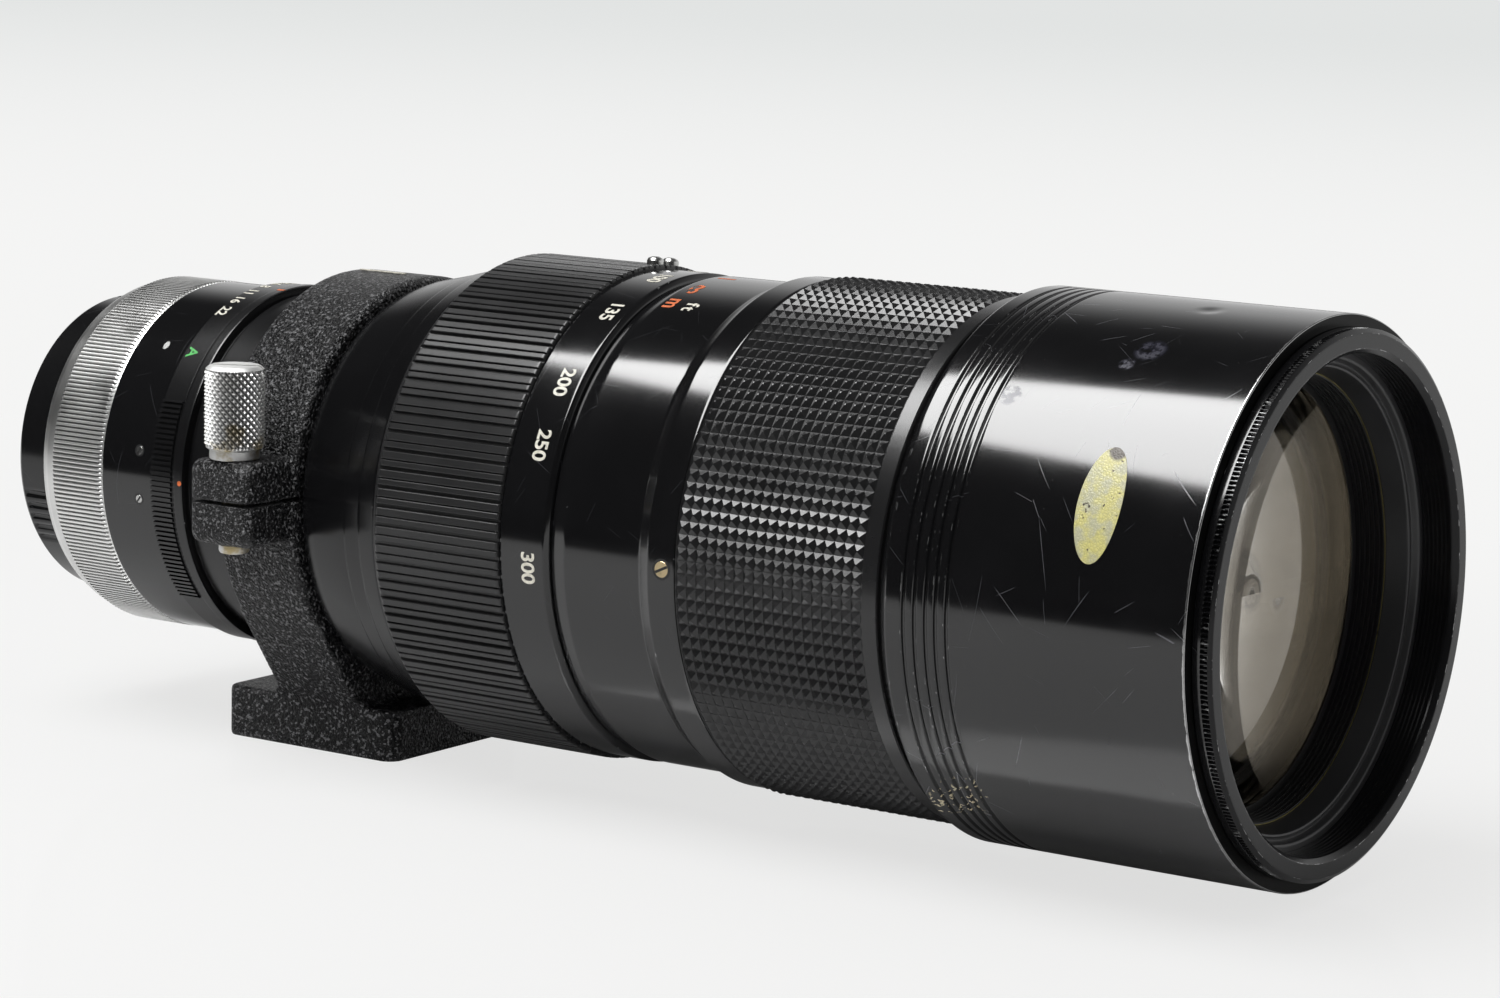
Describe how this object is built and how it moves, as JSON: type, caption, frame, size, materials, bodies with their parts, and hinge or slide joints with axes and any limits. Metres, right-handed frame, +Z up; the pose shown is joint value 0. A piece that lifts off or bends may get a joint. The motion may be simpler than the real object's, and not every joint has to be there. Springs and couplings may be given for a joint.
{
  "type": "camera zoom lens",
  "caption": "Long telephoto zoom lens with a breech-lock mount, separate zoom and focus rings, an iris, and a rotating tripod collar with a clamp and a foot.",
  "frame": {"origin": "on the lens axis, at the plane of the camera mount's flange", "axes": "+X along the lens axis towards the front, +Z up, away from the tripod foot, -Y towards the clamp screw"},
  "size_m": [0.256, 0.0935, 0.0927],
  "materials": {
    "black_metal": "gloss black anodising, worn bright at the edges",
    "crackle_paint": "black wrinkle paint on a casting",
    "bright_aluminium": "turned and knurled",
    "chrome": "satin chrome",
    "cap_plastic": "gloss",
    "steel": "turned",
    "blade_steel": "blackened",
    "aluminium": "black anodised",
    "brass": "turned",
    "glass": "coated"
  },
  "bodies": {
    "barrel": {"mount_flange": "chrome", "lever_baffle": "black_metal", "rear_lens_cell": "black_metal", "rear_doublet": "glass", "rear_singlet_front": "glass", "rear_singlet_rear": "glass", "rear_spacers": "steel", "rear_barrel": "black_metal", "barrel_screws": "steel", "lever_retaining_ring": "steel", "click_detent": "steel", "main_barrel": "black_metal", "collar_retaining_ring": "black_metal", "flare_barrel": "black_metal", "guide_tube": "aluminium", "relay_cell": "black_metal", "relay_lens_front": "glass", "relay_lens_middle": "glass", "relay_lens_rear": "glass", "iris_housing": "black_metal", "focus_guide_tube": "aluminium"},
    "back_cap": {"rear_cap": "cap_plastic"},
    "breech": {"breech_ring": "chrome", "bayonet_lug_ring": "chrome"},
    "aperture": {"aperture_ring": "black_metal", "signal_lever": "steel"},
    "stop_down": {"stop_down_lever": "steel", "iris_driving_ring": "blade_steel"},
    "blade_1": {"iris_blade_1": "blade_steel"},
    "blade_2": {"iris_blade_2": "blade_steel"},
    "blade_3": {"iris_blade_3": "blade_steel"},
    "blade_4": {"iris_blade_4": "blade_steel"},
    "blade_5": {"iris_blade_5": "blade_steel"},
    "blade_6": {"iris_blade_6": "blade_steel"},
    "blade_7": {"iris_blade_7": "blade_steel"},
    "blade_8": {"iris_blade_8": "blade_steel"},
    "zoom": {"zoom_grip_ring": "black_metal", "zoom_scale_ring": "black_metal", "zoom_studs": "steel", "cam_tube": "aluminium"},
    "variator": {"variator_carriage": "black_metal", "variator_pins": "brass", "variator_doublet": "glass", "variator_singlet": "glass"},
    "compensator": {"compensator_carriage": "black_metal", "compensator_pins": "brass", "compensator_doublet": "glass"},
    "collar": {"tripod_collar": "crackle_paint", "tripod_bush": "steel"},
    "thumb_screw": {"clamp_screw": "bright_aluminium"},
    "focus": {"focus_ring": "black_metal", "distance_scale_ring": "black_metal", "focus_ring_screws": "steel"},
    "front_group": {"front_barrel": "black_metal", "helicoid_sleeve": "brass", "front_lens_cell": "black_metal", "front_doublet": "glass", "front_singlet": "glass", "name_ring": "black_metal"},
    "filter_bezel": {"filter_ring": "black_metal"}
  },
  "joints": [
    {"name": "cap_pull", "type": "slide", "parent": "barrel", "child": "back_cap", "axis": [-1, 0, 0], "range_m": [0, 0.06]},
    {"name": "breech_lock", "type": "hinge", "parent": "barrel", "child": "breech", "pos_m": [0, 0, 0], "axis": [1, 0, 0], "range_deg": [0, 60]},
    {"name": "aperture_turn", "type": "hinge", "parent": "barrel", "child": "aperture", "pos_m": [0, 0, 0], "axis": [1, 0, 0], "range_deg": [-34, 18]},
    {"name": "stop_down_swing", "type": "hinge", "parent": "barrel", "child": "stop_down", "pos_m": [0, 0, 0], "axis": [1, 0, 0], "range_deg": [0, 17], "stiffness_Nm_per_rad": 0.03, "springref_deg": -17.19},
    {"name": "blade_1_turn", "type": "hinge", "parent": "barrel", "child": "blade_1", "pos_m": [0.0524, -0.00947, -0.0203], "axis": [1, 0, 0], "range_deg": [0, 30]},
    {"name": "blade_2_turn", "type": "hinge", "parent": "barrel", "child": "blade_2", "pos_m": [0.0524, 0.00766, -0.02105], "axis": [1, 0, 0], "range_deg": [0, 30]},
    {"name": "blade_3_turn", "type": "hinge", "parent": "barrel", "child": "blade_3", "pos_m": [0.0524, 0.0203, -0.00947], "axis": [1, 0, 0], "range_deg": [0, 30]},
    {"name": "blade_4_turn", "type": "hinge", "parent": "barrel", "child": "blade_4", "pos_m": [0.0524, 0.02105, 0.00766], "axis": [1, 0, 0], "range_deg": [0, 30]},
    {"name": "blade_5_turn", "type": "hinge", "parent": "barrel", "child": "blade_5", "pos_m": [0.0524, 0.00947, 0.0203], "axis": [1, 0, 0], "range_deg": [0, 30]},
    {"name": "blade_6_turn", "type": "hinge", "parent": "barrel", "child": "blade_6", "pos_m": [0.0524, -0.00766, 0.02105], "axis": [1, 0, 0], "range_deg": [0, 30]},
    {"name": "blade_7_turn", "type": "hinge", "parent": "barrel", "child": "blade_7", "pos_m": [0.0524, -0.0203, 0.00947], "axis": [1, 0, 0], "range_deg": [0, 30]},
    {"name": "blade_8_turn", "type": "hinge", "parent": "barrel", "child": "blade_8", "pos_m": [0.0524, -0.02105, -0.00766], "axis": [1, 0, 0], "range_deg": [0, 30]},
    {"name": "zoom_turn", "type": "hinge", "parent": "barrel", "child": "zoom", "pos_m": [0, 0, 0], "axis": [1, 0, 0], "range_deg": [-83, 14]},
    {"name": "variator_travel", "type": "slide", "parent": "barrel", "child": "variator", "axis": [1, 0, 0], "range_m": [-0.01541, 0.0026]},
    {"name": "compensator_travel", "type": "slide", "parent": "barrel", "child": "compensator", "axis": [1, 0, 0], "range_m": [-0.00073, 0.00428]},
    {"name": "collar_turn", "type": "hinge", "parent": "barrel", "child": "collar", "pos_m": [0, 0, 0], "axis": [1, 0, 0], "continuous": true},
    {"name": "clamp_turn", "type": "hinge", "parent": "collar", "child": "thumb_screw", "pos_m": [0.0535, -0.0429, 0], "axis": [0, 0, 1], "range_deg": [0, 720]},
    {"name": "focus_turn", "type": "hinge", "parent": "barrel", "child": "focus", "pos_m": [0, 0, 0], "axis": [1, 0, 0], "range_deg": [0, 150]},
    {"name": "front_travel", "type": "slide", "parent": "barrel", "child": "front_group", "axis": [1, 0, 0], "range_m": [0, 0.00751]},
    {"name": "bezel_unscrew", "type": "hinge", "parent": "front_group", "child": "filter_bezel", "pos_m": [0.2402, 0, 0], "axis": [1, 0, 0], "range_deg": [0, 1080]}
  ],
  "couplings": [
    {"joint": "blade_1_turn", "follows": "stop_down_swing", "ratio": 1.7647},
    {"joint": "blade_2_turn", "follows": "stop_down_swing", "ratio": 1.7647},
    {"joint": "blade_3_turn", "follows": "stop_down_swing", "ratio": 1.7647},
    {"joint": "blade_4_turn", "follows": "stop_down_swing", "ratio": 1.7647},
    {"joint": "blade_5_turn", "follows": "stop_down_swing", "ratio": 1.7647},
    {"joint": "blade_6_turn", "follows": "stop_down_swing", "ratio": 1.7647},
    {"joint": "blade_7_turn", "follows": "stop_down_swing", "ratio": 1.7647},
    {"joint": "blade_8_turn", "follows": "stop_down_swing", "ratio": 1.7647},
    {"joint": "variator_travel", "follows": "zoom_turn", "m_per_rad": 0.010632},
    {"joint": "compensator_travel", "follows": "zoom_turn", "m_per_rad": -0.0029534},
    {"joint": "front_travel", "follows": "focus_turn", "m_per_rad": 0.0028648}
  ]
}
